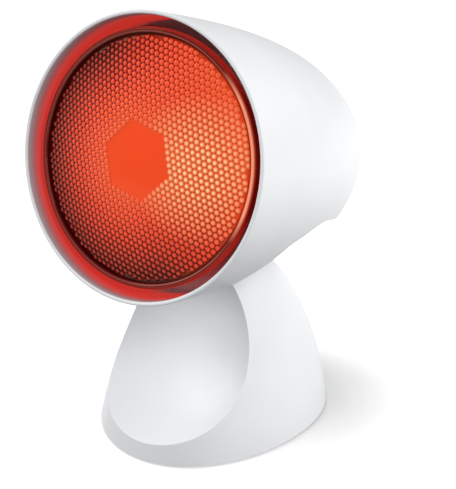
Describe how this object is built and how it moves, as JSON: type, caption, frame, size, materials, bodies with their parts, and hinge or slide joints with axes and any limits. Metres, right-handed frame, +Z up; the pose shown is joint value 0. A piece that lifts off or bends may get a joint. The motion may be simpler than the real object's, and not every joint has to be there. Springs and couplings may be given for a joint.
{
  "type": "infrared heat lamp",
  "caption": "Table-top infrared heat lamp: a tilting hood with a red reflector bulb on a weighted foot with a scooped front.",
  "frame": {"origin": "on the table, under the middle of the lamp's width and depth", "axes": "+Z up, the lamp faces -Y, +X to the right seen from the front"},
  "size_m": [0.135, 0.2053, 0.2243],
  "materials": {
    "white_plastic": "satin, injection moulded",
    "plate_plastic": "fine grain",
    "red_glass": "pressed glass, coloured all through",
    "mirrored_glass": "glass, aluminised on the inside",
    "tungsten": "coiled wire",
    "lead_wire": "drawn nickel wire",
    "clear_glass": "clear",
    "cap_metal": "rolled sheet",
    "cap_glass": "black vitrite",
    "solder": "soldered",
    "ceramic": "glazed steatite",
    "contact_brass": "pressed sheet",
    "zinc_steel": "zinc plated",
    "shield_sheet": "mill finish",
    "nylon": "natural nylon",
    "iron": "as cast",
    "soft_rubber": "matt grey"
  },
  "bodies": {
    "foot": {"foot_shell": "white_plastic", "base_plate": "plate_plastic", "plate_screws": "zinc_steel", "ballast_weight": "iron", "ballast_screws": "zinc_steel", "rubber_feet": "soft_rubber", "cable_gland": "soft_rubber", "hinge_bolt": "zinc_steel", "hinge_nut": "zinc_steel", "spring_washer": "zinc_steel"},
    "head": {"hood_shell": "white_plastic", "hood_floor": "white_plastic", "floor_screws": "zinc_steel", "heat_shield": "shield_sheet", "shield_rivets": "shield_sheet", "hinge_bush": "nylon", "friction_washers": "nylon", "lampholder_body": "ceramic", "lampholder_sleeve": "contact_brass", "lampholder_contact": "contact_brass", "lampholder_bracket": "zinc_steel", "lampholder_screws": "zinc_steel", "bracket_screws": "zinc_steel"},
    "bulb": {"bulb_lens": "red_glass", "bulb_reflector": "mirrored_glass", "bulb_filament": "tungsten", "filament_leads": "lead_wire", "filament_stem": "clear_glass", "bulb_cap": "cap_metal", "bulb_insulator": "cap_glass", "bulb_contact": "solder"}
  },
  "joints": [
    {"name": "tilt", "type": "hinge", "parent": "foot", "child": "head", "pos_m": [0, -0.0258, 0.1005], "axis": [-1, 0, 0], "range_deg": [-15, 30]},
    {"name": "bulb_turn", "type": "hinge", "parent": "head", "child": "bulb", "pos_m": [0, -0.08791, 0.15852], "axis": [0, -0.9763, 0.2164], "range_deg": [0, 1260]}
  ]
}
